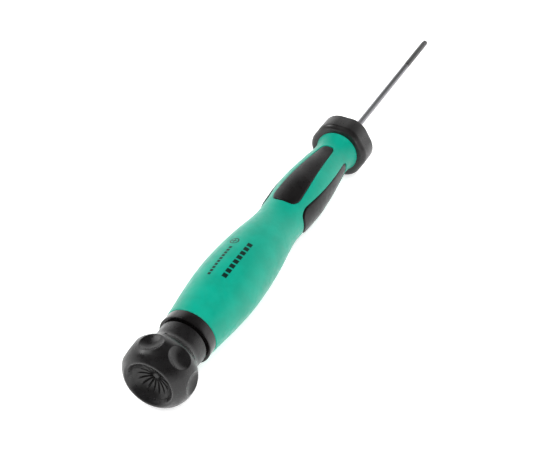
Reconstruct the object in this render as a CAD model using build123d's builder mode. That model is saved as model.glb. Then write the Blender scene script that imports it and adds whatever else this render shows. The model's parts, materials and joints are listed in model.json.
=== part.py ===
from build123d import *
from math import cos, radians, sin
import os

# Watchmaker's cross-point screwdriver with a swivel cap.
# The tool's axis is X and its tip points to +X. The origin is where the shank
# leaves the nose of the handle. +Z is up, square to one flat of the hex collar.
# Lengths along the tool are measured back from the tip, as a ruler would be laid
# beside it, and along() turns such a length into an X coordinate. All in mm.

# --- blade ---
SHANK_R = 0.75
BLADE_OUT = 50.0            # how far the blade stands out of the handle
BLADE_ROOT_R = 1.0          # the part moulded into the handle is left thicker
BLADE_END = 88.0            # rear end of the steel, inside the handle
WING_START = 70.0           # flattened wings that stop it turning in the plastic
WING_LENGTH = 7.0
WING_SPAN = 3.0
WING_THICK = 0.7
POINT_FLAT_R = 0.28         # blunt end of the cross point
POINT_LENGTH = 0.95
FLUTE_LENGTH = 2.4
FLUTE_DEPTH = 0.42

# --- handle core ---
NOSE_TIP_R = 1.8
COLLAR_START = 51.9
COLLAR_END = 57.4
COLLAR_SEAT_FLATS = 6.4     # hexagon that the collar is keyed to, across flats
CORE_FRONT_R = 3.0
CORE_STEP = 92.0
CORE_REAR_R = 4.2
SLEEVE_END = 128.0
KEY_COUNT = 6
KEY_WIDTH = 1.2
KEY_TOP_R = 4.9
KEY_START = 97.0
KEY_END = 123.0

# --- green sleeve: distance from the tip, radius ---
SLEEVE_PROFILE = (
    (57.4, 5.25),
    (60.4, 4.62),
    (64.5, 4.93),
    (70.0, 5.56),
    (78.0, 5.99),
    (83.5, 5.68),
    (89.2, 5.36),
    (97.0, 6.22),
    (105.0, 7.04),
    (112.5, 7.28),
    (120.0, 6.82),
    (128.0, 5.96),
)
WAIST = 89.2
SLEEVE_SLOPES = (0.42, 0.10)    # how fast it narrows towards the cap, at its two ends

# --- grip inlays ---
INLAY_OUTLINE = (               # distance from the tip, half width, seen square on
    (62.25, 0.0),
    (62.6, 1.25),
    (63.6, 1.68),
    (68.0, 2.07),
    (75.5, 2.75),
    (82.0, 3.20),
    (84.6, 3.18),
    (86.1, 2.50),
    (86.75, 1.30),
    (86.85, 0.0),
)
INLAY_PROFILE = (               # distance from the tip, radius of the rubber
    (61.0, 4.40),
    (64.1, 4.78),
    (69.5, 5.52),
    (75.0, 5.95),
    (78.5, 6.10),
    (82.6, 5.96),
    (85.5, 5.76),
    (88.0, 5.60),
)
INLAY_CREST = 78.5
INLAY_SLOPES = (-0.14, 0.05)
INLAY_FLOOR = 0.70              # depth of the pocket it fills

# --- hex collar ---
COLLAR_FLATS = 13.6
COLLAR_CORNER_R = 4.65
COLLAR_FRONT_EDGE_R = 0.7
COLLAR_REAR_EDGE_R = 1.2

# --- rear bush ---
BUSH_R = 5.92
BUSH_REAR = 130.5
BUSH_LIP = 0.2
SPIGOT_R = 3.2
SPIGOT_FRONT = 121.0

# --- swivel pin and washers ---
PIN_R = 1.25
PIN_FRONT = 108.0
PIN_BARB_R = 1.5
PIN_BARB_PITCH = 2.5
PIN_BARBS = 4
PIN_HEAD_R = 2.3
PIN_HEAD_FRONT = 139.4
PIN_HEAD_REAR = 140.55
RUNNING = 0.05              # radial clearance of what turns on the pin
WASHER_R = 3.4
THRUST_WASHER_REAR = 130.95
HEAD_WASHER_FRONT = 138.9
HEAD_WASHER_REAR = 139.35

# --- swivel cap ---
NECK_R = 5.35
NECK_FRONT = 131.0
HEAD_R = 7.7
HEAD_PROFILE = (            # distance from the tip, radius: throat, shoulder, crown
    (134.3, 5.20),
    (135.4, 5.55),
    (136.4, 6.42),
    (137.5, 7.18),
    (138.7, 7.60),
    (139.9, HEAD_R),
    (141.6, 7.50),
    (143.2, 6.80),
    (144.4, 5.60),
)
RIM_R = 4.4
RIM = 143.3
HUB_R = 3.3
HUB_FLANGE_R = 4.3
HUB_FLANGE_FRONT = 137.2
CHAMBER_R = 3.5
DIMPLE_COUNT = 7
DIMPLE_FIRST = 11.6         # degrees from +Z towards +Y
DIMPLE_BALL_R = 4.5
DIMPLE_DEPTH = 1.2
DIMPLE_PLACE = 139.9
DISC_FRONT = 140.8
DISH_DEPTH = 1.75
RAY_COUNT = 16
RAY_WIDTH = 0.36
RAY_DEPTH = 0.3
RAY_INNER_R = 0.9
RAY_OUTER_R = 3.7

os.makedirs("parts", exist_ok=True)


def along(distance):
    """X of a place that lies this far back from the tip."""
    return BLADE_OUT - distance


def across(distance):
    """Plane square to the tool's axis, this far back from the tip, facing the cap."""
    return Plane(origin=(along(distance), 0, 0), x_dir=(0, 1, 0), z_dir=(-1, 0, 0))


def turned(*outline):
    """Solid turned round the tool's axis from (distance, radius) corners."""
    with BuildPart() as solid:
        with BuildSketch(Plane.XY):
            with BuildLine():
                Polyline(*[(along(d), r) for d, r in outline], close=True)
            make_face()
        revolve(axis=Axis.X)
    return solid.part


def rod(start, end, radius, bore=0.0):
    """Round rod or tube between two distances from the tip."""
    with BuildPart() as solid:
        with BuildSketch(across(start)):
            Circle(radius)
            if bore > 0:
                Circle(bore, mode=Mode.SUBTRACT)
        extrude(amount=end - start)
    return solid.part


def dished(sunk):
    """The end disc with its finger dish, the whole dish sunk by a depth."""
    rim = along(RIM - sunk)
    with BuildPart() as solid:
        with BuildSketch(Plane.XY):
            with BuildLine():
                dish_ball_r = (RIM_R**2 + DISH_DEPTH**2) / (2 * DISH_DEPTH)
                dish = RadiusArc((rim, RIM_R), (rim + DISH_DEPTH, 0), dish_ball_r)
                Polyline(dish @ 1, (along(DISC_FRONT), 0), (along(DISC_FRONT), RIM_R), dish @ 0)
            make_face()
        revolve(axis=Axis.X)
    return solid.part


def handle_form(profile, slopes, level, sunk=0.0):
    """Full round solid under a profile that runs level at one of its points, sunk by a depth."""
    points = [(along(d), r - sunk) for d, r in profile]
    first, last = points[0], points[-1]
    split = [d for d, r in profile].index(level)
    with BuildPart() as solid:
        with BuildSketch(Plane.XY):
            with BuildLine():
                Polyline(last, (last[0], 0), (first[0], 0), first)
                Spline(*points[: split + 1], tangents=[(-1, -slopes[0]), (-1, 0)])
                Spline(*points[split:], tangents=[(-1, 0), (-1, -slopes[1])])
            make_face()
        revolve(axis=Axis.X)
    return solid.part


def inlay_column(turn):
    """Column with the outline of one grip inlay, standing out to one side of the axis."""
    side = Plane(origin=(0, 0, 0), x_dir=(1, 0, 0), z_dir=(0, sin(turn), cos(turn)))
    one_side = [(along(d), half_width) for d, half_width in INLAY_OUTLINE]
    other_side = [(x, -y) for x, y in one_side[-2:0:-1]]
    with BuildPart() as column:
        with BuildSketch(side):
            with BuildLine():
                Spline(*one_side, *other_side, periodic=True)
            make_face()
        extrude(amount=HEAD_R)
    return column.part


# ---------------------------------------------------------------- blade
with BuildPart() as blade:
    add(
        turned(
            (0, 0),
            (0, POINT_FLAT_R),
            (POINT_LENGTH, SHANK_R),
            (BLADE_OUT, SHANK_R),
            (BLADE_OUT, BLADE_ROOT_R),
            (BLADE_END, BLADE_ROOT_R),
            (BLADE_END, 0),
        )
    )
    with BuildSketch(across(WING_START)):
        Rectangle(WING_SPAN, WING_THICK)
    extrude(amount=WING_LENGTH)
    # four flutes, deepest at the point and running out along the shank
    for quarter in range(4):
        lean = radians(45 + 90 * quarter)
        outward = Vector(0, cos(lean), sin(lean))
        side = Plane(
            origin=(along(0), 0, 0), x_dir=(-1, 0, 0), z_dir=(0, -sin(lean), cos(lean))
        )
        with BuildSketch(side):
            with BuildLine():
                Polyline(
                    (-1, SHANK_R - FLUTE_DEPTH - 0.2),
                    (FLUTE_LENGTH, SHANK_R),
                    (FLUTE_LENGTH, 2 * SHANK_R),
                    (-1, 2 * SHANK_R),
                    close=True,
                )
            make_face()
        extrude(amount=0.16, both=True, mode=Mode.SUBTRACT)
blade.part.label = "blade"

# ---------------------------------------------------------------- swivel pin
with BuildPart() as swivel_pin:
    add(rod(PIN_FRONT, PIN_HEAD_FRONT, PIN_R))
    for ring in range(PIN_BARBS):
        start = PIN_FRONT + 1 + ring * PIN_BARB_PITCH
        add(turned((start, 0), (start, PIN_R), (start + 1.5, PIN_BARB_R), (start + 1.5, 0)))
    add(rod(PIN_HEAD_FRONT, PIN_HEAD_REAR, PIN_HEAD_R))
    fillet(swivel_pin.edges().filter_by(GeomType.CIRCLE).sort_by(Axis.X)[0], 0.4)
swivel_pin.part.label = "swivel_pin"

# ---------------------------------------------------------------- rear bush
with BuildPart() as rear_bush:
    add(rod(SPIGOT_FRONT, SLEEVE_END, SPIGOT_R))
    add(
        turned(
            (SLEEVE_END, 0),
            (SLEEVE_END, BUSH_R),
            (BUSH_REAR - BUSH_LIP, BUSH_R),
            (BUSH_REAR, BUSH_R - BUSH_LIP),
            (BUSH_REAR, 0),
        )
    )
    add(rod(SPIGOT_FRONT, BUSH_REAR, PIN_R), mode=Mode.SUBTRACT)
rear_bush.part.label = "rear_bush"

# ---------------------------------------------------------------- handle core
with BuildPart() as handle_core:
    add(
        turned(
            (BLADE_OUT, 0),
            (BLADE_OUT, NOSE_TIP_R),
            (COLLAR_START, COLLAR_SEAT_FLATS / 2),
            (COLLAR_START, 0),
        )
    )
    with BuildSketch(across(COLLAR_START)):
        RegularPolygon(COLLAR_SEAT_FLATS / 2, 6, major_radius=False)
    extrude(amount=COLLAR_END - COLLAR_START)
    add(rod(COLLAR_END, CORE_STEP, CORE_FRONT_R))
    add(rod(CORE_STEP, SLEEVE_END, CORE_REAR_R))
    with BuildSketch(across(KEY_START)):
        with PolarLocations(KEY_TOP_R / 2, KEY_COUNT):
            Rectangle(KEY_TOP_R, KEY_WIDTH)
    extrude(amount=KEY_END - KEY_START)
    add(blade.part, mode=Mode.SUBTRACT)
    add(swivel_pin.part, mode=Mode.SUBTRACT)
    add(rod(SPIGOT_FRONT, SLEEVE_END, SPIGOT_R), mode=Mode.SUBTRACT)
handle_core.part.label = "handle_core"

# ---------------------------------------------------------------- grip inlays
pocket_floor = handle_form(SLEEVE_PROFILE, SLEEVE_SLOPES, WAIST, INLAY_FLOOR)
inlay_top = handle_form(INLAY_PROFILE, INLAY_SLOPES, INLAY_CREST)
INLAY_TURNS = {"top": 0, "left": 90, "bottom": 180, "right": 270}
inlay_columns = []
grip_inlays = []
for place, turn in INLAY_TURNS.items():
    with BuildPart() as column:
        add(inlay_column(radians(turn)))
        add(pocket_floor, mode=Mode.SUBTRACT)
    inlay_columns.append(column.part)
    with BuildPart() as grip_inlay:
        add(column.part)
        add(inlay_top, mode=Mode.INTERSECT)
    grip_inlay.part.label = "grip_inlay_" + place
    grip_inlays.append(grip_inlay.part)

# ---------------------------------------------------------------- green sleeve
with BuildPart() as green_sleeve:
    add(handle_form(SLEEVE_PROFILE, SLEEVE_SLOPES, WAIST))
    for column_part in inlay_columns:
        add(column_part, mode=Mode.SUBTRACT)
    add(rod(COLLAR_END, CORE_STEP, CORE_FRONT_R), mode=Mode.SUBTRACT)
    add(rod(CORE_STEP, SLEEVE_END, CORE_REAR_R), mode=Mode.SUBTRACT)
    with BuildSketch(across(KEY_START)):
        with PolarLocations(KEY_TOP_R / 2, KEY_COUNT):
            Rectangle(KEY_TOP_R, KEY_WIDTH)
    extrude(amount=KEY_END - KEY_START, mode=Mode.SUBTRACT)
green_sleeve.part.label = "green_sleeve"

# ---------------------------------------------------------------- hex collar
with BuildPart() as hex_collar:
    with BuildSketch(across(COLLAR_START)) as outline:
        RegularPolygon(COLLAR_FLATS / 2, 6, major_radius=False)
        fillet(outline.vertices(), COLLAR_CORNER_R)
    extrude(amount=COLLAR_END - COLLAR_START)
    ends = hex_collar.faces().filter_by(Axis.X).sort_by(Axis.X)
    fillet(ends[-1].edges(), COLLAR_FRONT_EDGE_R)
    ends = hex_collar.faces().filter_by(Axis.X).sort_by(Axis.X)
    fillet(ends[0].edges(), COLLAR_REAR_EDGE_R)
    with BuildSketch(across(COLLAR_START)):
        RegularPolygon(COLLAR_SEAT_FLATS / 2, 6, major_radius=False)
    extrude(amount=COLLAR_END - COLLAR_START, mode=Mode.SUBTRACT)
hex_collar.part.label = "hex_collar"

# ---------------------------------------------------------------- washers
with BuildPart() as thrust_washer:
    add(rod(BUSH_REAR, THRUST_WASHER_REAR, WASHER_R, bore=PIN_R))
thrust_washer.part.label = "thrust_washer"

with BuildPart() as head_washer:
    add(rod(HEAD_WASHER_FRONT, HEAD_WASHER_REAR, WASHER_R, bore=PIN_R + RUNNING))
head_washer.part.label = "head_washer"

# ---------------------------------------------------------------- cap hub
with BuildPart() as cap_hub:
    add(rod(NECK_FRONT, HUB_FLANGE_FRONT, HUB_R))
    add(rod(HUB_FLANGE_FRONT, HEAD_WASHER_FRONT, HUB_FLANGE_R))
    add(rod(NECK_FRONT, HEAD_WASHER_FRONT, PIN_R + RUNNING), mode=Mode.SUBTRACT)
cap_hub.part.label = "cap_hub"

# ---------------------------------------------------------------- cap grip
with BuildPart() as cap_grip:
    with BuildSketch(Plane.XY):
        with BuildLine():
            neck = Line((along(NECK_FRONT), 0), (along(NECK_FRONT), NECK_R))
            head_points = [(along(d), r) for d, r in HEAD_PROFILE]
            Line(neck @ 1, head_points[0])
            head = Spline(*head_points, tangents=[(-1, 0), (-0.25, -1)])
            bevel = Spline(head @ 1, (along(RIM), RIM_R), tangents=[(-0.25, -1), (1, -1)])
            Line(bevel @ 1, (along(RIM), 0))
            Line((along(RIM), 0), (along(NECK_FRONT), 0))
        make_face()
    revolve(axis=Axis.X)
    for number in range(DIMPLE_COUNT):
        turn = radians(DIMPLE_FIRST + 360 * number / DIMPLE_COUNT)
        reach = HEAD_R - DIMPLE_DEPTH + DIMPLE_BALL_R
        with Locations((along(DIMPLE_PLACE), reach * sin(turn), reach * cos(turn))):
            Sphere(DIMPLE_BALL_R, mode=Mode.SUBTRACT)
    add(cap_hub.part, mode=Mode.SUBTRACT)
    add(rod(NECK_FRONT, HEAD_WASHER_FRONT, PIN_R + RUNNING), mode=Mode.SUBTRACT)
    add(rod(HEAD_WASHER_FRONT, DISC_FRONT, CHAMBER_R), mode=Mode.SUBTRACT)
    add(rod(DISC_FRONT, RIM, RIM_R), mode=Mode.SUBTRACT)
cap_grip.part.label = "cap_grip"

# ---------------------------------------------------------------- end disc
with BuildPart() as star:
    # fine rays round the middle, kept to a thin layer under the dish
    with BuildSketch(across(DISC_FRONT)):
        with PolarLocations((RAY_INNER_R + RAY_OUTER_R) / 2, RAY_COUNT):
            Rectangle(RAY_OUTER_R - RAY_INNER_R, RAY_WIDTH)
    extrude(amount=RIM - DISC_FRONT)
    add(dished(RAY_DEPTH), mode=Mode.SUBTRACT)

with BuildPart() as end_disc:
    add(dished(0))
    add(star.part, mode=Mode.SUBTRACT)
end_disc.part.label = "end_disc"

pieces = [
    blade.part,
    handle_core.part,
    green_sleeve.part,
    *grip_inlays,
    hex_collar.part,
    rear_bush.part,
    swivel_pin.part,
    thrust_washer.part,
    head_washer.part,
    cap_hub.part,
    cap_grip.part,
    end_disc.part,
]
for piece in pieces:
    export_step(piece, "parts/" + piece.label + ".step")
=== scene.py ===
import json
from math import cos, pi, radians, sin, sqrt

import bmesh
import bpy
import numpy as np
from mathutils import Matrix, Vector

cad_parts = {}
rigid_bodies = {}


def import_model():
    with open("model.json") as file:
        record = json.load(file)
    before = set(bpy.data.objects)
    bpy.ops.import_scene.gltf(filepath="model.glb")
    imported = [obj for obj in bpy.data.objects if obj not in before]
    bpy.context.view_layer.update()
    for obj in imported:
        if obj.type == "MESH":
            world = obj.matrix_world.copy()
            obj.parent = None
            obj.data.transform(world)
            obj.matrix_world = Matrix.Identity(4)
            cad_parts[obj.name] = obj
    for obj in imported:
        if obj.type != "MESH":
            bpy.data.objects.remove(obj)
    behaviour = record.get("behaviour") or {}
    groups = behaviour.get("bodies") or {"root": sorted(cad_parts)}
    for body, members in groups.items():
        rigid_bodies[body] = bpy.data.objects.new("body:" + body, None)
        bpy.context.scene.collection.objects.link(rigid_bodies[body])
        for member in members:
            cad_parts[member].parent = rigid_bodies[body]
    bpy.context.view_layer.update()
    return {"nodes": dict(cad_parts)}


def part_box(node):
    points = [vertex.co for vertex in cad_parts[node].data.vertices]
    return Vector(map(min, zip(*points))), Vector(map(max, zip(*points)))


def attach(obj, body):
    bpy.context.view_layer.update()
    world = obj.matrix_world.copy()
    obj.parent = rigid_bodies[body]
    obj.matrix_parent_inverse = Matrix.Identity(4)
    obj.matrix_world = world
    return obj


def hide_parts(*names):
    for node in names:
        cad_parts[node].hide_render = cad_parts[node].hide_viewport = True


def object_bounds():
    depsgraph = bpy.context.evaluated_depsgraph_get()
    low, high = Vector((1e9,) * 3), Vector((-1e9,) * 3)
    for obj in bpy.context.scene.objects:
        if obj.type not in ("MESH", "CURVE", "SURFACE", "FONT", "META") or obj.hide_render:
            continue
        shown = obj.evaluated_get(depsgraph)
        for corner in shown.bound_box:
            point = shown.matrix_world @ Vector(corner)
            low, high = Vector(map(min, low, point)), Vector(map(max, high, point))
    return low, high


# Watchmaker's screwdriver, lying on one flat of its collar. Lengths are in millimetres
# until mesh_piece() turns them into metres. Like a ruler laid beside the tool, a
# "distance" runs back from the tip; a "turn" is the angle round the axis, in degrees,
# from straight up towards +Y.

for leftover in list(bpy.data.objects):
    bpy.data.objects.remove(leftover)
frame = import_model()

MM = 0.001
BLADE_OUT = 1000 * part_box("blade")[1].x      # the tip's X, which is where distances start

# ------------------------------------- sizes, as in the CAD unless a comment says otherwise
SHANK_R = 0.72           # the bare rod, 0.03 mm thinner than in the CAD, so that a step shows
BLACK_R = 0.75           # the black end
BLADE_ROOT_R = 1.0
BLADE_END = 88.0
POINT_FLAT_R = 0.28
POINT_LENGTH = 0.95
FLUTE_LENGTH = 2.4
BLACK_LENGTH = 14.2

SLEEVE_PROFILE = (
    (57.4, 5.25),
    (60.4, 4.62),
    (64.5, 4.93),
    (70.0, 5.56),
    (78.0, 5.99),
    (83.5, 5.68),
    (89.2, 5.36),
    (97.0, 6.22),
    (105.0, 7.04),
    (112.5, 7.28),
    (120.0, 6.82),
    (128.0, 5.96),
)
SLEEVE_SLOPES = (-0.42, -0.10)
WAIST = 89.2
INLAY_PROFILE = (
    (61.0, 4.40),
    (64.1, 4.78),
    (69.5, 5.52),
    (75.0, 5.95),
    (78.5, 6.10),
    (82.6, 5.96),
    (85.5, 5.76),
    (88.0, 5.60),
)
INLAY_SLOPES = (0.14, -0.05)
INLAY_CREST = 78.5
CORE_FRONT_R = 3.0
CORE_REAR_R = 4.2
CORE_STEP = 92.0

# half of a grip inlay's outline: distance from the tip, degrees from its middle line
INLAY_OUTLINE = (
    (62.25, 0.0),
    (62.30, 10.0),
    (62.62, 16.5),
    (63.40, 20.4),
    (65.00, 21.9),
    (68.00, 23.0),
    (71.40, 24.8),
    (75.50, 27.5),
    (79.20, 30.5),
    (82.00, 33.2),
    (83.60, 34.7),
    (84.70, 34.6),
    (85.60, 31.5),
    (86.35, 26.0),
    (86.68, 18.0),
    (86.80, 8.0),
    (86.82, 0.0),
)
FRONT_CORNER = 63.0
REAR_CORNER = 84.9

COLLAR_START = 51.9
COLLAR_END = 57.4
COLLAR_FLAT = 6.8
COLLAR_CORNER_R = 4.65
COLLAR_SEAT_R = 3.2
COLLAR_FRONT_EDGE = 0.7
COLLAR_REAR_EDGE = 1.2

BUSH_R = 5.92
BUSH_FRONT = 128.0
BUSH_REAR = 130.5
SPIGOT_FRONT = 121.0
SPIGOT_R = 3.2
PIN_R = 1.25

NECK_R = 5.35
NECK_FRONT = 131.0
HEAD_PROFILE = (
    (134.3, 5.20),
    (135.4, 5.55),
    (136.4, 6.42),
    (137.5, 7.18),
    (138.7, 7.60),
    (139.9, 7.70),
    (141.6, 7.50),
    (143.2, 6.80),
)
THROAT = ((132.6, 5.278), (133.5, 5.225))      # leads from the straight neck into the head
# the crown rolls over into the dish, more softly than in the CAD
ROLL = (
    (143.97, 6.08),
    (144.30, 5.66),
    (144.36, 5.40),
    (144.24, 5.14),
    (143.98, 4.90),
    (143.66, 4.67),
)
HEAD_R = 7.7
RIM_R = 4.4
RIM = 143.3
HUB_R = 3.3
HUB_FLANGE_R = 4.3
HUB_FLANGE_FRONT = 137.2
CHAMBER_FRONT = 138.9
CHAMBER_R = 3.5
DISC_FRONT = 140.8
DISH_DEPTH = 1.75
DISH_POWER = 2.6         # how flat the middle of the dish is
DISC_GAP = 0.004         # keeps the disc off the cap
RAY_DEPTH = 0.30
DIMPLES = 7
DIMPLE_FIRST = 11.6
DIMPLE_BALL_R = 4.5
DIMPLE_DEPTH = 1.2
DIMPLE_PLACE = 139.9
RAYS = 16
RAY_FIRST = -3.5
GATE_PLACE = 134.95      # a small moulding mark in the throat
GATE_TURN = 14
GATE_DEPTH = 0.26


# --------------------------------------------------------------- mesh helpers
def spline(points, slopes=None):
    """Smooth curve through (x, y) points, as a function; slopes are those at its two ends."""
    x, y = np.array(points, float).T
    n = len(x)
    h = np.diff(x)
    a = np.zeros((n, n))
    b = np.zeros(n)
    for i in range(1, n - 1):
        a[i, i - 1], a[i, i], a[i, i + 1] = h[i - 1], 2 * (h[i - 1] + h[i]), h[i]
        b[i] = 6 * ((y[i + 1] - y[i]) / h[i] - (y[i] - y[i - 1]) / h[i - 1])
    if slopes is None:
        a[0, 0] = a[-1, -1] = 1
    else:
        a[0, 0], a[0, 1] = 2 * h[0], h[0]
        b[0] = 6 * ((y[1] - y[0]) / h[0] - slopes[0])
        a[-1, -1], a[-1, -2] = 2 * h[-1], h[-1]
        b[-1] = 6 * (slopes[1] - (y[-1] - y[-2]) / h[-1])
    m = np.linalg.solve(a, b)

    def value(at):
        at = np.asarray(at, float)
        i = np.clip(np.searchsorted(x, at) - 1, 0, n - 2)
        left, right, w = at - x[i], x[i + 1] - at, h[i]
        return (
            m[i] * right**3 / (6 * w)
            + m[i + 1] * left**3 / (6 * w)
            + (y[i] / w - m[i] * w / 6) * right
            + (y[i + 1] / w - m[i + 1] * w / 6) * left
        )

    return value


def curve_through(points, count):
    """Even samples along a smooth open curve through 2-D points."""
    p = np.array(points, float)
    run = np.concatenate([[0], np.cumsum(np.linalg.norm(np.diff(p, axis=0), axis=1) ** 0.5)])
    fine = np.linspace(0, run[-1], 60 * len(p))
    q = np.stack([spline(list(zip(run, p[:, k])))(fine) for k in (0, 1)], axis=1)
    return evenly(q, count)


def evenly(points, count):
    """The same polyline with its points spread evenly."""
    p = np.asarray(points, float)
    run = np.concatenate([[0], np.cumsum(np.linalg.norm(np.diff(p, axis=0), axis=1))])
    at = np.linspace(0, run[-1], count)
    return np.stack([np.interp(at, run, p[:, k]) for k in (0, 1)], axis=1)


def rounded(corners, steps=6):
    """Closed outline of (distance, radius, corner radius), its corners turned into arcs."""
    out = []
    count = len(corners)
    for i, (x, y, r) in enumerate(corners):
        here = np.array([x, y], float)
        if r <= 0:
            out.append(here)
            continue
        before = np.array(corners[i - 1][:2], float) - here
        after = np.array(corners[(i + 1) % count][:2], float) - here
        u = before / np.linalg.norm(before)
        v = after / np.linalg.norm(after)
        half = np.arccos(np.clip(u @ v, -1, 1)) / 2
        reach = r / np.tan(half)
        centre = here + (u + v) / np.linalg.norm(u + v) * r / np.sin(half)
        a = here + u * reach - centre
        b = here + v * reach - centre
        for k in range(steps + 1):
            f = k / steps
            w = a * (1 - f) + b * f
            out.append(centre + w / np.linalg.norm(w) * r)
    return np.array(out)


def polar(distance, radius, turn):
    """Place in millimetres from a distance, a radius and a turn in degrees."""
    turn = np.radians(turn)
    d, r, turn = np.broadcast_arrays(distance, radius, turn)
    return np.stack([BLADE_OUT - d, r * np.sin(turn), r * np.cos(turn)], axis=-1)


def mesh_piece(name, sheets, material, body, node, sharp=38):
    """One closed piece made of grids of points that meet along their edges."""
    bm = bmesh.new()
    for points, wrap_rows, wrap_columns in sheets:
        rows, columns = points.shape[:2]
        verts = [[bm.verts.new(p * MM) for p in row] for row in points]
        for i in range(rows if wrap_rows else rows - 1):
            for j in range(columns if wrap_columns else columns - 1):
                a, b = verts[i], verts[(i + 1) % rows]
                k = (j + 1) % columns
                bm.faces.new((a[j], a[k], b[k], b[j]))
    bmesh.ops.remove_doubles(bm, verts=bm.verts, dist=2e-7)
    bmesh.ops.dissolve_degenerate(bm, edges=bm.edges, dist=1e-7)
    bmesh.ops.recalc_face_normals(bm, faces=bm.faces)
    for edge in bm.edges:
        edge.smooth = len(edge.link_faces) != 2 or edge.calc_face_angle() < radians(sharp)
    for face in bm.faces:
        face.smooth = True
    mesh = bpy.data.meshes.new(name)
    bm.to_mesh(mesh)
    bm.free()
    piece = bpy.data.objects.new(name, mesh)
    bpy.context.scene.collection.objects.link(piece)
    mesh.materials.append(material)
    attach(piece, body)
    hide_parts(node)
    return piece


def lathe(outline, segments):
    """Grid of a closed outline of (distance, radius) turned round the axis."""
    o = np.asarray(outline)
    turn = np.arange(segments) * 360 / segments
    return polar(o[:, :1], o[:, 1:2], turn[None, :]), True, True


# --------------------------------------------------------------- material helpers
class Nodes:
    """Short way to wire a material's nodes."""

    def __init__(self, name, **values):
        self.material = bpy.data.materials.new(name)
        self.material.use_nodes = True
        self.tree = self.material.node_tree
        self.shader = self.tree.nodes["Principled BSDF"]
        for key, value in values.items():
            self.shader.inputs[key.replace("_", " ")].default_value = value
        self.place = self.tree.nodes.new("ShaderNodeTexCoord").outputs["Object"]

    def add(self, kind, links=(), **settings):
        node = self.tree.nodes.new("ShaderNode" + kind)
        for key, value in settings.items():
            if hasattr(node, key):
                setattr(node, key, value)
            else:
                node.inputs[key.replace("_", " ")].default_value = value
        for key, source in dict(links).items():
            self.tree.links.new(source, node.inputs[key])
        return node

    def noise(self, scale, detail=3.0, rough=0.55, stretch=(1, 1, 1)):
        """Noise in object space; scale is in cells per metre."""
        place = self.add("Mapping", {"Vector": self.place})
        place.inputs["Scale"].default_value = stretch
        return self.add(
            "TexNoise",
            {"Vector": place.outputs[0]},
            Scale=scale,
            Detail=detail,
            Roughness=rough,
        ).outputs["Fac"]

    def remap(self, source, low, high, to_low, to_high, smooth=True):
        node = self.add("MapRange", {"Value": source})
        node.interpolation_type = "SMOOTHSTEP" if smooth else "LINEAR"
        for key, value in zip(("From Min", "From Max", "To Min", "To Max"), (low, high, to_low, to_high)):
            node.inputs[key].default_value = value
        return node.outputs[0]

    def math(self, operation, a, b=None):
        node = self.add("Math", operation=operation)
        for socket, value in zip(node.inputs, (a, b)):
            if value is None:
                continue
            if isinstance(value, (int, float)):
                socket.default_value = value
            else:
                self.tree.links.new(value, socket)
        return node.outputs[0]

    def mix(self, factor, one, two):
        node = self.add("Mix", data_type="RGBA")
        self.tree.links.new(factor, node.inputs["Factor"])
        for key, value in (("A", one), ("B", two)):
            socket = [s for s in node.inputs if s.name == key and s.type == "RGBA"][0]
            if isinstance(value, tuple):
                socket.default_value = (*value, 1)
            else:
                self.tree.links.new(value, socket)
        return [s for s in node.outputs if s.type == "RGBA"][0]

    def bump(self, height, strength, distance, below=None):
        node = self.add("Bump", {"Height": height}, Strength=strength, Distance=distance)
        if below is not None:
            self.tree.links.new(below, node.inputs["Normal"])
        return node.outputs[0]

    def feed(self, **sources):
        for key, source in sources.items():
            self.tree.links.new(source, self.shader.inputs[key.replace("_", " ")])
        return self.material


def moulded(name, dark, light, rough, grain, grain_depth, shine=0.5, wander=0.25, scuffs=0.0):
    """Moulded plastic or rubber: uneven tone, fine grain in the skin, a few scuffs."""
    n = Nodes(name, Specular_IOR_Level=shine)
    tone = n.noise(220, detail=5)
    fine = n.noise(grain, detail=2)
    blot = n.noise(900, detail=4)
    colour = n.mix(n.remap(tone, 0.3, 0.7, 0, 1), dark, light)
    roughness = n.remap(blot, 0.3, 0.7, rough - wander * 0.3, rough + wander * 0.3)
    if scuffs:
        streak = n.noise(260, detail=6, rough=0.7, stretch=(0.35, 3.2, 3.2))
        rub = n.remap(streak, 0.62, 0.70, 0, scuffs)
        roughness = n.math("ADD", roughness, rub)
    wave = n.bump(blot, 0.12, 0.00006)
    skin = n.bump(fine, 1.0, grain_depth, below=wave)
    return n, n.feed(Base_Color=colour, Roughness=roughness, Normal=skin)


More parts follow.
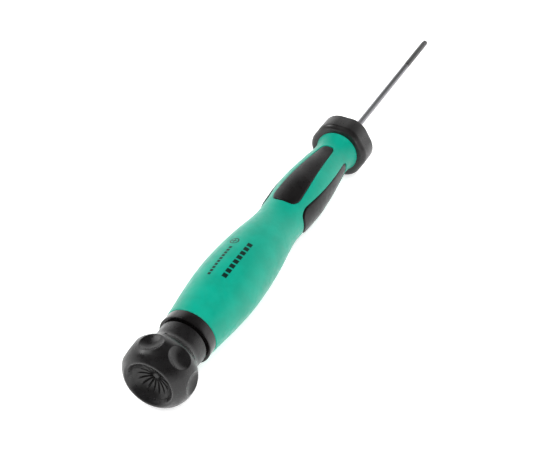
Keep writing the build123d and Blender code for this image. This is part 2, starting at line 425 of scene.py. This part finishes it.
def green_plastic():
    """Green moulding with a generic print in dark ink: a cross in a ring and plain bars."""
    n, material = moulded(
        "green_plastic",
        (0.0004, 0.262, 0.178),
        (0.0010, 0.306, 0.212),
        0.36,
        9000,
        0.000008,
        shine=0.22,
        scuffs=0.10,
    )
    parts = n.add("SeparateXYZ", {"Vector": n.place}).outputs
    back = n.math("MULTIPLY", n.math("SUBTRACT", BLADE_OUT * MM, parts["X"]), 1000.0)
    turn = n.math("MULTIPLY", n.math("ARCTAN2", parts["Y"], parts["Z"]), 180 / pi)

    def near(value, middle, half, soft):
        """1 within half of the middle, 0 outside."""
        away = n.math("ABSOLUTE", n.math("SUBTRACT", value, middle))
        return n.remap(away, half + soft, half - soft, 0, 1)

    def bars(first, last, pitch, gap, middle, half):
        """A row of plain bars with even gaps."""
        step = n.math("FRACT", n.math("DIVIDE", n.math("SUBTRACT", back, first), pitch))
        bar = near(step, 0.5, 0.5 - gap / pitch / 2, 0.03)
        row = near(back, (first + last) / 2, (last - first) / 2, 0.03)
        return n.math("MULTIPLY", n.math("MULTIPLY", bar, row), near(turn, middle, half, 0.3))

    aside = n.math("MULTIPLY", n.math("SUBTRACT", turn, 15.8), 6.95 * pi / 180)
    ahead = n.math("SUBTRACT", back, 105.4)
    away = n.math("SQRT", n.math("ADD", n.math("MULTIPLY", aside, aside), n.math("MULTIPLY", ahead, ahead)))
    ring = near(away, 0.92, 0.13, 0.04)
    inside = near(away, 0.0, 0.68, 0.04)
    cross = n.math("MAXIMUM", near(aside, 0.0, 0.12, 0.04), near(ahead, 0.0, 0.12, 0.04))
    sign = n.math("MAXIMUM", ring, n.math("MULTIPLY", inside, cross))
    wide = bars(104.6, 117.0, 1.55, 0.42, -13.5, 4.6)
    narrow = bars(107.4, 117.6, 1.02, 0.30, 12.6, 2.8)
    rows = n.math("MAXIMUM", wide, narrow)
    ink = n.math("MULTIPLY", n.math("MAXIMUM", sign, rows), 0.97)
    plain = n.shader.inputs["Base Color"].links[0].from_socket
    n.feed(Base_Color=n.mix(ink, plain, (0.0015, 0.007, 0.006)))
    return material


def grip_rubber():
    dark, light = (0.0032, 0.0027, 0.0028), (0.0055, 0.0048, 0.0048)
    return moulded("grip_rubber", dark, light, 0.34, 7000, 0.000006, 0.20)[1]


def collar_rubber():
    dark, light = (0.0055, 0.0048, 0.0050), (0.0090, 0.0080, 0.0080)
    return moulded("collar_rubber", dark, light, 0.34, 6000, 0.000008, 0.45)[1]


def cap_rubber():
    dark, light = (0.0042, 0.0038, 0.0040), (0.0070, 0.0065, 0.0068)
    return moulded("cap_rubber", dark, light, 0.31, 5000, 0.000003, 0.40)[1]


def disc_plastic():
    dark, light = (0.0042, 0.0038, 0.0038), (0.0070, 0.0064, 0.0064)
    return moulded("disc_plastic", dark, light, 0.34, 5000, 0.000004, 0.38)[1]


def bush_plastic():
    dark, light = (0.0030, 0.0026, 0.0026), (0.0060, 0.0054, 0.0054)
    return moulded("bush_plastic", dark, light, 0.18, 9000, 0.000003, 0.35)[1]


def hidden_plastic(name, tone):
    n, material = moulded(name, (tone, tone, tone), (tone * 1.4,) * 3, 0.45, 4000, 0.00001)
    return material


def blade_steel():
    """Ground steel with fine lines round it, the front end blackened."""
    n = Nodes("blade_steel")
    parts = n.add("SeparateXYZ", {"Vector": n.place})
    back = n.math("SUBTRACT", BLADE_OUT * MM, parts.outputs["X"])
    edge = n.noise(1500, detail=3)
    wander = n.math("MULTIPLY", n.math("SUBTRACT", edge, 0.5), 0.0004)
    black = n.remap(n.math("ADD", back, wander), (BLACK_LENGTH + 0.1) * MM, (BLACK_LENGTH - 0.1) * MM, 0, 1)
    lines = n.noise(900, detail=5, rough=0.7, stretch=(14, 1, 1))
    along = n.noise(500, detail=4, stretch=(0.2, 4, 4))
    steel = n.mix(n.remap(lines, 0.3, 0.7, 0, 1), (0.24, 0.24, 0.252), (0.34, 0.34, 0.355))
    oxide = n.mix(n.remap(along, 0.3, 0.7, 0, 1), (0.07, 0.069, 0.07), (0.12, 0.118, 0.118))
    colour = n.mix(black, steel, oxide)
    metal = n.remap(black, 0, 1, 1.0, 0.75, smooth=False)
    finish = n.remap(black, 0, 1, 0.46, 0.42, smooth=False)
    rough = n.math("ADD", finish, n.remap(lines, 0.3, 0.7, -0.05, 0.05))
    skin = n.bump(lines, 0.5, 0.000006)
    return n.feed(Base_Color=colour, Metallic=metal, Roughness=rough, Normal=skin)


def turned_steel():
    n = Nodes("turned_steel", Metallic=1.0)
    lines = n.noise(1200, detail=4, stretch=(8, 1, 1))
    colour = n.mix(lines, (0.50, 0.50, 0.52), (0.66, 0.66, 0.67))
    rough = n.remap(lines, 0.3, 0.7, 0.25, 0.4)
    return n.feed(Base_Color=colour, Roughness=rough, Normal=n.bump(lines, 0.4, 0.000006))


# --------------------------------------------------------------- blade
def build_blade(material):
    """Round shank whose end is a blunt cone with four flutes."""
    fluted = np.concatenate([np.linspace(0, POINT_LENGTH, 14), np.linspace(1.0, FLUTE_LENGTH + 0.5, 24)[1:]])
    black = np.linspace(3.2, BLACK_LENGTH - 0.1, 14)
    turn = np.arange(96) * 360 / 96
    rows = [polar(0.0, 0.0 * turn, turn)]
    for d in np.concatenate([fluted, black]):
        radius = min(BLACK_R, POINT_FLAT_R + (BLACK_R - POINT_FLAT_R) * d / POINT_LENGTH)
        open_ = max(0.0, 1 - d / FLUTE_LENGTH)
        across = np.minimum((turn - 45) % 90, (45 - turn) % 90)
        notch = np.exp(-((across / (9 + 16 * open_)) ** 4))
        floor = radius - (0.10 + 0.62 * radius) * open_**0.8
        rows.append(polar(d, radius + (floor - radius) * notch * (open_ > 0), turn))
    bare = (
        (BLACK_LENGTH, SHANK_R),
        (BLADE_OUT, SHANK_R),
        (BLADE_OUT, BLADE_ROOT_R),
        (BLADE_END, BLADE_ROOT_R),
        (BLADE_END, 0.0),
    )
    rows += [polar(d, r + 0 * turn, turn) for d, r in bare]
    return mesh_piece("blade_rod", [(np.array(rows), False, True)], material, "handle", "blade", sharp=50)


# --------------------------------------------------------------- collar
def hex_radius(turn, flat, corner):
    """Radius of a rounded hexagon, with a flat straight up and straight down."""
    a = np.radians((np.asarray(turn, float) + 30) % 60 - 30)
    inner = flat - corner
    side = inner * np.tan(pi / 6)
    straight = flat / np.cos(a)
    tip = inner / cos(pi / 6)
    swing = pi / 6 - np.abs(a)
    round_ = tip * np.cos(swing) + np.sqrt(np.maximum(corner**2 - (tip * np.sin(swing)) ** 2, 0))
    return np.where(np.abs(flat * np.tan(a)) <= side, straight, round_)


def build_collar(material):
    """Rounded six-sided collar: a tight front edge and a wide soft roll at the rear."""
    turn = np.arange(360)
    front, rear = COLLAR_FRONT_EDGE, COLLAR_REAR_EDGE
    swing = np.linspace(0, pi / 2, 13)
    stations = [(COLLAR_START + front * (1 - sin(a)), front * (1 - cos(a))) for a in swing[::-1]]
    stations += [(COLLAR_END - rear * (1 - sin(a)), rear * (1 - cos(a))) for a in swing]
    rows = [polar(COLLAR_START, COLLAR_SEAT_R + 0.0 * turn, turn)]
    for distance, inset in stations:
        rows.append(polar(distance, hex_radius(turn, COLLAR_FLAT - inset, COLLAR_CORNER_R - inset), turn))
    rows.append(polar(COLLAR_END, COLLAR_SEAT_R + 0.0 * turn, turn))
    return mesh_piece("collar_hex", [(np.array(rows), True, True)], material, "handle", "hex_collar")


# --------------------------------------------------------------- sleeve and inlays
def profile(points, slopes, level):
    """Radius along a profile that runs level at one of its points."""
    split = [d for d, r in points].index(level)
    front = spline(points[: split + 1], (slopes[0], 0))
    rear = spline(points[split:], (0, slopes[1]))
    return lambda at: np.where(np.asarray(at) < level, front(at), rear(at))


sleeve_r = profile(SLEEVE_PROFILE, SLEEVE_SLOPES, WAIST)
inlay_r = profile(INLAY_PROFILE, INLAY_SLOPES, INLAY_CREST)
QUARTER = 32             # segments across a quarter turn
FLANK = 110              # segments along an inlay's long side
PATCH = (60.6, 88.8)     # the stretch of sleeve that holds the inlays
GRIP_TURNS = {"top": 0, "left": 90, "bottom": 180, "right": 270}
POCKET = 0.68
LIP = 0.12


def inlay_loop():
    """Closed outline of an inlay as (distance, degrees), with even points on each side."""
    r = 5.6
    scale = r * pi / 180
    half = np.array(INLAY_OUTLINE) * (1, scale)
    fine = curve_through(half, 4000)
    front = fine[fine[:, 0] <= FRONT_CORNER]
    split_front = len(front)
    rear_side = np.nonzero(fine[:, 0] >= REAR_CORNER)[0][0]
    nose = evenly(fine[:split_front], QUARTER // 2 + 1)
    flank = evenly(fine[split_front - 1 : rear_side + 1], FLANK + 1)
    tail = evenly(fine[rear_side:], QUARTER // 2 + 1)
    side = np.concatenate([nose, flank[1:], tail[1:]]) / (1, scale)
    other = side[::-1][1:-1] * (1, -1)
    return np.concatenate([side, other])


def patch_loop():
    """Closed edge of the quarter round one inlay, point for point with inlay_loop()."""
    first, last = PATCH
    nose = [(first, a) for a in np.linspace(0, 45, QUARTER // 2 + 1)]
    flank = [(d, 45) for d in np.linspace(first, last, FLANK + 1)]
    tail = [(last, a) for a in np.linspace(45, 0, QUARTER // 2 + 1)]
    side = np.array(nose + flank[1:] + tail[1:])
    other = side[::-1][1:-1] * (1, -1)
    return np.concatenate([side, other])


def grown(loop, by):
    """A loop moved outwards on the sleeve by a length in millimetres."""
    scale = np.stack([np.ones(len(loop)), sleeve_r(loop[:, 0]) * pi / 180], axis=1)
    flat = loop * scale
    tangent = np.roll(flat, -1, axis=0) - np.roll(flat, 1, axis=0)
    tangent /= np.linalg.norm(tangent, axis=1)[:, None]
    outward = np.stack([tangent[:, 1], -tangent[:, 0]], axis=1)
    if (outward[0] * (1, 0)).sum() > 0:
        outward = -outward
    return (flat + outward * by) / scale


def on_sleeve(loop, sunk, turn):
    return polar(loop[:, 0], sleeve_r(loop[:, 0]) - sunk, loop[:, 1] + turn)


def spine_of(loop):
    """The middle line that an inlay's rings close on."""
    front, rear = 66.0, 83.0
    d = np.clip((loop[:, 0] - PATCH[0] - 3.5) / (REAR_CORNER - PATCH[0] - 4.2), 0, 1)
    return np.stack([front + (rear - front) * d, np.zeros(len(loop))], axis=1)


def build_sleeve(material):
    outline, edge = inlay_loop(), patch_loop()
    sheets = []
    for turn in GRIP_TURNS.values():
        rows = []
        for k in range(9, -1, -1):
            f = (k / 9) ** 1.3
            rows.append(on_sleeve(grown(outline, 0.34) * (1 - f) + edge * f, 0.0, turn))
        for d in (0.22, 0.12, 0.08, 0.045, 0.02, 0.006, 0.0):
            sunk = LIP - sqrt(max(LIP**2 - max(LIP - d, 0) ** 2, 0))
            rows.append(on_sleeve(grown(outline, d), sunk, turn))
        rows.append(on_sleeve(outline, POCKET, turn))
        middle = spine_of(outline)
        for f in (0.5, 1.0):
            rows.append(on_sleeve(outline * (1 - f) + middle * f, POCKET, turn))
        sheets.append((np.array(rows), False, True))
    turn = np.arange(4 * QUARTER) * 90 / QUARTER

    def band(stations):
        return np.array([polar(d, r + 0 * turn, turn) for d, r in stations]), False, True

    start, end = SLEEVE_PROFILE[0][0], SLEEVE_PROFILE[-1][0]
    front = [(start, CORE_FRONT_R), (start, sleeve_r(start) - 0.25)]
    for k in range(1, 7):
        a = pi / 2 * k / 6
        d = start + 0.22 * (1 - cos(a))
        front.append((d, sleeve_r(d) - 0.22 * (1 - sin(a))))
    front += [(d, sleeve_r(d)) for d in np.linspace(start + 0.4, PATCH[0], 7)]
    rear = [(d, sleeve_r(d)) for d in np.linspace(PATCH[1], end - 0.3, 90)]
    for k in range(7):
        a = pi / 2 * k / 6
        d = end - 0.22 * (1 - sin(a))
        rear.append((d, sleeve_r(d) - 0.22 * (1 - cos(a))))
    rear += [(end, CORE_REAR_R), (CORE_STEP, CORE_REAR_R)]
    rear += [(CORE_STEP, CORE_FRONT_R), (start, CORE_FRONT_R)]
    sheets += [band(front), band(rear)]
    return mesh_piece("sleeve_green", sheets, material, "handle", "green_sleeve")


def build_inlay(place, turn, material):
    """Rubber panel that swells a little out of its pocket, its edge rolled down to a groove."""
    outline = grown(inlay_loop(), -0.03)
    edge, groove = 0.42, 0.16
    rows = [on_sleeve(outline, POCKET - 0.02, turn)]

    def skin(loop, inset):
        """Depth below the sleeve: the groove at the outline, the rubber's own form inside."""
        swell = sleeve_r(loop[:, 0]) - inlay_r(loop[:, 0])
        rise = sqrt(max(1 - (1 - min(inset / edge, 1)) ** 2, 0))
        return (groove + np.maximum(swell, 0)) * (1 - rise) + swell * rise

    for inset in (0.0, 0.012, 0.04, 0.08, 0.13, 0.19, 0.26, 0.34, 0.42, 0.55):
        loop = grown(outline, -inset)
        rows.append(on_sleeve(loop, skin(loop, inset), turn))
    inner = loop
    middle = spine_of(inner)
    for k in range(1, 11):
        f = k / 10
        loop = inner * (1 - f) + middle * f
        rows.append(on_sleeve(loop, skin(loop, 1.0), turn))
    under = [on_sleeve(outline * (1 - f) + middle * f, POCKET - 0.02, turn) for f in (0, 0.5, 1)]
    sheets = [(np.array(rows), False, True), (np.array(under), False, True)]
    return mesh_piece("inlay_" + place, sheets, material, "handle", "grip_inlay_" + place)


# --------------------------------------------------------------- bush
def build_bush(material):
    outline = rounded(
        [
            (SPIGOT_FRONT, PIN_R, 0),
            (SPIGOT_FRONT, SPIGOT_R, 0.3),
            (BUSH_FRONT + 0.02, SPIGOT_R, 0),
            (BUSH_FRONT + 0.02, BUSH_R - 0.06, 0.1),
            (BUSH_REAR - 0.55, BUSH_R, 0.2),
            (BUSH_REAR - 0.12, BUSH_R, 0.08),
            (BUSH_REAR, BUSH_R - 0.14, 0.04),
            (BUSH_REAR, PIN_R, 0),
        ]
    )
    return mesh_piece("bush_ring", [lathe(outline, 160)], material, "handle", "rear_bush", sharp=30)


# --------------------------------------------------------------- cap
def smooth_min(a, b, soft):
    h = np.clip(0.5 + 0.5 * (b - a) / soft, 0, 1)
    return b * (1 - h) + a * h - soft * h * (1 - h)


def dimpled(distance, radius, turn):
    """Radius after the thumb dimples, each cut by a ball, and the gate mark in the throat."""
    out = radius * np.ones_like(turn)
    soft = 0.10 + 0.35 * float(np.clip((138.4 - distance) / 1.6, 0, 1))
    reach = HEAD_R - DIMPLE_DEPTH + DIMPLE_BALL_R
    room = DIMPLE_BALL_R**2 - (distance - DIMPLE_PLACE) ** 2
    for k in range(DIMPLES):
        away = (turn - DIMPLE_FIRST - 360 * k / DIMPLES + 180) % 360 - 180
        side = np.radians(away)
        under = room - (reach * np.sin(side)) ** 2
        near = reach * np.cos(side) - np.sqrt(np.maximum(under, 0))
        out = np.where((under > 0) & (np.abs(away) < 60), smooth_min(out, near, soft), out)
    mark = np.exp(-(((distance - GATE_PLACE) / 0.16) ** 2) - ((turn - GATE_TURN) / 2.6) ** 2)
    return out - GATE_DEPTH * mark


def build_cap(material):
    turn = np.arange(480) * 360 / 480
    head = curve_through([*THROAT, *HEAD_PROFILE, *ROLL, (RIM, RIM_R)], 220)
    outer = [(NECK_FRONT, NECK_R - 0.4)]
    for k in range(6):
        a = pi / 2 * k / 5
        outer.append((NECK_FRONT + 0.12 * (1 - cos(a)), NECK_R - 0.12 * (1 - sin(a))))
    outer += [(d, NECK_R - 0.045 * (d - NECK_FRONT)) for d in np.linspace(131.6, 132.4, 3)]
    rows = [polar(d, r + 0 * turn, turn) for d, r in outer]
    for d, r in head:
        rows.append(polar(d, dimpled(d, r, turn), turn))
    inner = (
        (DISC_FRONT, RIM_R),
        (DISC_FRONT, CHAMBER_R),
        (CHAMBER_FRONT, CHAMBER_R),
        (CHAMBER_FRONT, HUB_FLANGE_R),
        (HUB_FLANGE_FRONT, HUB_FLANGE_R),
        (HUB_FLANGE_FRONT, HUB_R),
        (NECK_FRONT, HUB_R),
    )
    rows += [polar(d, r + 0 * turn, turn) for d, r in inner]
    return mesh_piece("cap_shell", [(np.array(rows), True, True)], material, "cap", "cap_grip", sharp=60)


def build_disc(material):
    """Finger dish with a star of fine rays pressed into it."""
    turn = np.arange(RAYS * 30) * 360 / (RAYS * 30)
    radii = np.linspace(0, RIM_R - DISC_GAP, 90)
    ray_turn = (turn - RAY_FIRST + 180 / RAYS) % (360 / RAYS) - 180 / RAYS
    rows = []
    for r in radii:
        dish = RIM - DISH_DEPTH * (1 - (r / RIM_R) ** DISH_POWER)
        side = np.abs(np.radians(ray_turn)) * r
        fade = np.clip((r - 0.5) / 0.35, 0, 1) * np.clip((3.7 - r) / 0.6, 0, 1)
        groove = RAY_DEPTH * np.clip(1 - side / 0.22, 0, 1) * fade
        rows.append(polar(dish - groove, r + 0 * turn, turn))
    rows.append(polar(DISC_FRONT + 0.03, RIM_R - DISC_GAP + 0 * turn, turn))
    rows.append(polar(DISC_FRONT + 0.03, 0 * turn, turn))
    return mesh_piece("disc_star", [(np.array(rows), False, True)], material, "cap", "end_disc", sharp=60)


build_blade(blade_steel())
build_collar(collar_rubber())
build_sleeve(green_plastic())
rubber = grip_rubber()
for place, turn in GRIP_TURNS.items():
    build_inlay(place, turn, rubber)
build_bush(bush_plastic())
build_cap(cap_rubber())
build_disc(disc_plastic())

steel = turned_steel()
carried = {
    "handle_core": hidden_plastic("core_plastic", 0.02),
    "cap_hub": hidden_plastic("hub_plastic", 0.05),
    "thrust_washer": hidden_plastic("washer_nylon", 0.04),
    "swivel_pin": steel,
    "head_washer": steel,
}
for node, material in carried.items():
    mesh = frame["nodes"][node].data
    mesh.materials.clear()
    mesh.materials.append(material)

# --------------------------------------------------------------- floor, light, camera
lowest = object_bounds()[0].z
bpy.ops.mesh.primitive_plane_add(size=6, location=(0, 0, lowest - 0.00002))
floor = bpy.context.object
floor.name = "floor"
ground = Nodes("floor_paper", Roughness=0.9)
ground.shader.inputs["Base Color"].default_value = (0.90, 0.90, 0.90, 1)
# the paper glows a little, as on a light table, which keeps the shadow faint
ground.shader.inputs["Emission Color"].default_value = (1, 1, 1, 1)
ground.shader.inputs["Emission Strength"].default_value = 0.55
floor.data.materials.append(ground.material)

# a tent that is white low down and dark overhead, which the tool's black upper faces mirror
world = bpy.data.worlds.new("studio")
bpy.context.scene.world = world
world.use_nodes = True
sky = world.node_tree
toward = sky.nodes.new("ShaderNodeTexCoord")
facing = sky.nodes.new("ShaderNodeVectorMath")
facing.operation = "DOT_PRODUCT"
facing.inputs[1].default_value = (-0.25, -0.10, 0.963)
overhead = sky.nodes.new("ShaderNodeMapRange")
overhead.interpolation_type = "SMOOTHSTEP"
DARKENING = {"From Min": 0.05, "From Max": 0.52, "To Min": 1.5, "To Max": 0.12}
for key, value in DARKENING.items():
    overhead.inputs[key].default_value = value
sky.links.new(toward.outputs["Generated"], facing.inputs[0])
sky.links.new(facing.outputs["Value"], overhead.inputs["Value"])
sky.links.new(overhead.outputs[0], sky.nodes["Background"].inputs[1])
sky.nodes["Background"].inputs[0].default_value = (1, 1, 1, 1)


def softbox(name, place, aim, size, power):
    light = bpy.data.lights.new(name, "AREA")
    light.shape = "RECTANGLE"
    light.size, light.size_y = size
    light.energy = power
    lamp = bpy.data.objects.new(name, light)
    bpy.context.scene.collection.objects.link(lamp)
    lamp.location = place
    lamp.rotation_mode = "QUATERNION"
    lamp.rotation_quaternion = (Vector(aim) - Vector(place)).to_track_quat("-Z", "Y")
    return lamp


middle = (-0.03, 0, 0)
softbox("key", (-0.10, 0.42, 0.42), middle, (0.30, 0.30), 1.6)
fill = softbox("fill", (-0.32, -0.22, 0.62), middle, (0.9, 0.9), 7.6)
fill.visible_glossy = False

# the camera looks down at the axis between the waist and the bulge
TARGET = Vector((BLADE_OUT - 89.5, 0.416, 0.215)) * MM
CAMERA_AZIMUTH, CAMERA_ELEVATION, CAMERA_AWAY = radians(-63.19), radians(38.63), 0.2886
camera = bpy.data.objects.new("camera", bpy.data.cameras.new("camera"))
bpy.context.scene.collection.objects.link(camera)
back = Vector(
    (
        sin(CAMERA_AZIMUTH) * cos(CAMERA_ELEVATION),
        -cos(CAMERA_AZIMUTH) * cos(CAMERA_ELEVATION),
        sin(CAMERA_ELEVATION),
    )
)
camera.location = TARGET + back * CAMERA_AWAY
camera.rotation_mode = "QUATERNION"
camera.rotation_quaternion = (-back).to_track_quat("-Z", "Y")
camera.data.lens = 85.1
camera.data.sensor_width = 36.0
camera.data.clip_start, camera.data.clip_end = 0.01, 20
bpy.context.scene.camera = camera
bpy.context.scene.view_settings.view_transform = "Standard"
